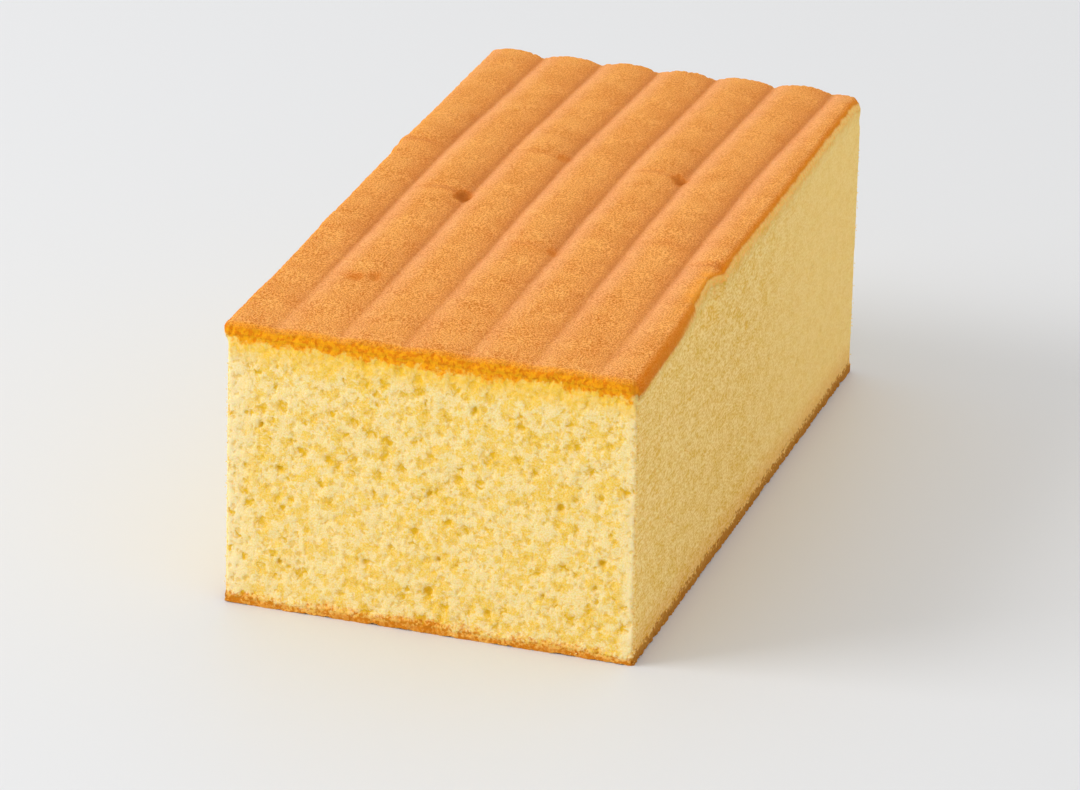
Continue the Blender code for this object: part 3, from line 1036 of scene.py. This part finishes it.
def scatterTree():
    tree, given, keys = shapeTree("looseCrumbs", {
        "Geometry": "Geometry", "Material": "Material", "Gap": "Float", "Spread": "Float",
        "Smallest": "Float", "Largest": "Float", "Seed": "Int",
    })
    curve = given["Geometry"].node("GeometryNodeMeshToCurve", {}, {"Mesh": given["Geometry"]})
    values = {"Curve": curve, "Length": given["Gap"]}
    points = curve.node("GeometryNodeCurveToPoints", {"mode": "LENGTH"}, values)

    def chance(kind, low, high, shift):
        values = {"Min": low, "Max": high, "Seed": given["Seed"] + float(shift)}
        return Wire.add(tree, "FunctionNodeRandomValue", {"data_type": kind}, values)

    aside = chance("FLOAT_VECTOR", (-1.0, -1.0, -1.0), (1.0, 1.0, 1.0), 1) * given["Spread"]
    points = points.node("GeometryNodeSetPosition", {}, {"Geometry": points, "Offset": aside})
    ball = Wire.add(tree, "GeometryNodeMeshIcoSphere", {}, {"Radius": 1.0, "Subdivisions": 2})
    size = given["Smallest"] + (given["Largest"] - given["Smallest"]) * chance("FLOAT", 0.0, 1.0, 2) ** 2.0
    turn = chance("FLOAT_VECTOR", (0.0, 0.0, 0.0), (6.28, 6.28, 6.28), 3)
    balls = points.node("GeometryNodeInstanceOnPoints", {}, {
        "Points": points, "Instance": ball, "Rotation": turn, "Scale": size,
    })
    made = balls.node("GeometryNodeRealizeInstances", {}, {0: balls})
    place = Wire.add(tree, "GeometryNodeInputPosition", {}, {})
    rough = place.noise(looseCrumbs["roughSize"], out="Color") - (0.5, 0.5, 0.5)
    rough = rough * looseCrumbs["rough"]
    made = made.node("GeometryNodeSetPosition", {}, {"Geometry": made, "Offset": rough})
    made = store(made, "restPlace", place, "FLOAT_VECTOR")
    finishTree(tree, made, given["Material"])
    return tree, keys


def makeLooseCrumbs():
    tree, keys = scatterTree()
    grow(edgeLines(), tree, keys, {
        "Material": looseMaterial(), "Gap": looseCrumbs["gap"], "Spread": looseCrumbs["spread"],
        "Smallest": looseCrumbs["smallest"], "Largest": looseCrumbs["largest"], "Seed": looseCrumbs["seed"],
    })


def makeCake():
    tree, keys = reliefTree()
    spots = poreObject()
    values = {
        "Pores": spots, "Ridge pitch": ridges["pitch"] / mm, "Ridge height": ridgeHeight / mm,
        "Ridge share in front": ridges["inFront"], "Small pits": relief["smallDepth"],
        "Medium pits": relief["mediumDepth"], "Large pores": relief["poreDepth"],
    }
    covered = (
        (crustCage(), crustMaterial()),
        (crumbCage(), crumbMaterial()),
        (baseCage(), baseMaterial()),
    )
    for cage, material in covered:
        grow(cage, tree, keys, values | {"Material": material})
    bpy.data.objects.remove(spots)


# Floor, light and camera

studio = {
    "lens": 177.5, "sensor": 36.0,
    "azimuth": 17.63, "elevation": 22.56, "roll": 1.30,       # degrees
    "distance": 1.0449, "toRight": -0.0027, "toUp": 0.01665,  # metres
    "floorSize": 6.0, "floorColour": (0.714, 0.75, 0.783, 1.0),
    "floorRoughness": 0.55,
    "keyFrom": (-0.9, -0.45, 0.72), "keyDistance": 1.6, "keySize": 0.8,
    "keyPower": 12.95, "keyColour": (1.0, 0.965, 0.945),
    "skyColour": (1.0, 0.963, 0.937), "skyStrength": 0.85,
    "nearest": 0.01, "farthest": 50.0,
}


def addCamera():
    data = bpy.data.cameras.new("camera")
    data.lens, data.sensor_width = studio["lens"], studio["sensor"]
    data.clip_start, data.clip_end = studio["nearest"], studio["farthest"]
    azimuth, elevation, roll = (math.radians(studio[name]) for name in ("azimuth", "elevation", "roll"))
    level = math.cos(elevation)
    back = Vector((math.sin(azimuth) * level, -math.cos(azimuth) * level, math.sin(elevation)))
    levelRight = Vector((0, 0, 1)).cross(back).normalized()
    levelUp = back.cross(levelRight)
    right = levelRight * math.cos(roll) + levelUp * math.sin(roll)
    up = levelUp * math.cos(roll) - levelRight * math.sin(roll)
    place = back * studio["distance"] + right * studio["toRight"] + up * studio["toUp"]
    camera = added("camera", data)
    camera.matrix_world = Matrix.Translation(place) @ Matrix((right, up, back)).transposed().to_4x4()
    bpy.context.scene.camera = camera


def addLight():
    data = bpy.data.lights.new("keyLight", "AREA")
    data.size, data.energy, data.color = studio["keySize"], studio["keyPower"], studio["keyColour"]
    light = added("keyLight", data)
    way = Vector(studio["keyFrom"]).normalized()
    light.location = way * studio["keyDistance"]
    light.rotation_euler = way.to_track_quat("Z", "Y").to_euler()
    world = bpy.data.worlds.new("paleRoom")
    world.use_nodes = True
    sky = world.node_tree.nodes["Background"]
    sky.inputs["Color"].default_value = (*studio["skyColour"], 1.0)
    sky.inputs["Strength"].default_value = studio["skyStrength"]
    bpy.context.scene.world = world


def addFloor():
    shape = bmesh.new()
    bmesh.ops.create_grid(shape, x_segments=1, y_segments=1, size=studio["floorSize"] / 2)
    mesh = meshFrom(shape, "floor")
    material = bpy.data.materials.new("paleFloor")
    material.use_nodes = True
    shader = material.node_tree.nodes["Principled BSDF"]
    shader.inputs["Base Color"].default_value = studio["floorColour"]
    shader.inputs["Roughness"].default_value = studio["floorRoughness"]
    mesh.materials.append(material)
    floor = added("floor", mesh)


makeCake()
print("cake made")
makeLooseCrumbs()
print("crumbs scattered")
addCamera()
addLight()
addFloor()
bpy.context.scene.view_settings.view_transform = "Standard"
print("studio set")
